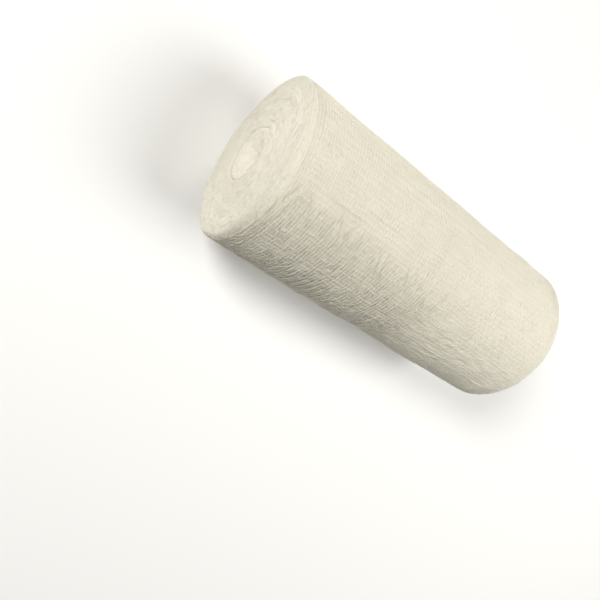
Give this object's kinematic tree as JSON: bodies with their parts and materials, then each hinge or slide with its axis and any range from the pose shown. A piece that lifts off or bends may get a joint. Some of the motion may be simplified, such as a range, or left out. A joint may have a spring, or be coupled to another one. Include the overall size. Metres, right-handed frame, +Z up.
{
  "type": "gauze bandage roll",
  "caption": "Long open-weave cotton gauze wound into a soft solid cylinder with no core tube, lying on its side on a small pressed flat.",
  "frame": {"origin": "middle of the underside of the roll's box, on the flat spot it rests on", "axes": "+X along the roll's axis from the near end, whose wound core shows, to the far end; +Z up"},
  "size_m": [0.2302, 0.1036, 0.1022],
  "materials": {
    "cotton_gauze": "matt bleached cotton gauze, open plain weave"
  },
  "bodies": {
    "root": {"gauze_roll": "cotton_gauze"}
  },
  "joints": []
}
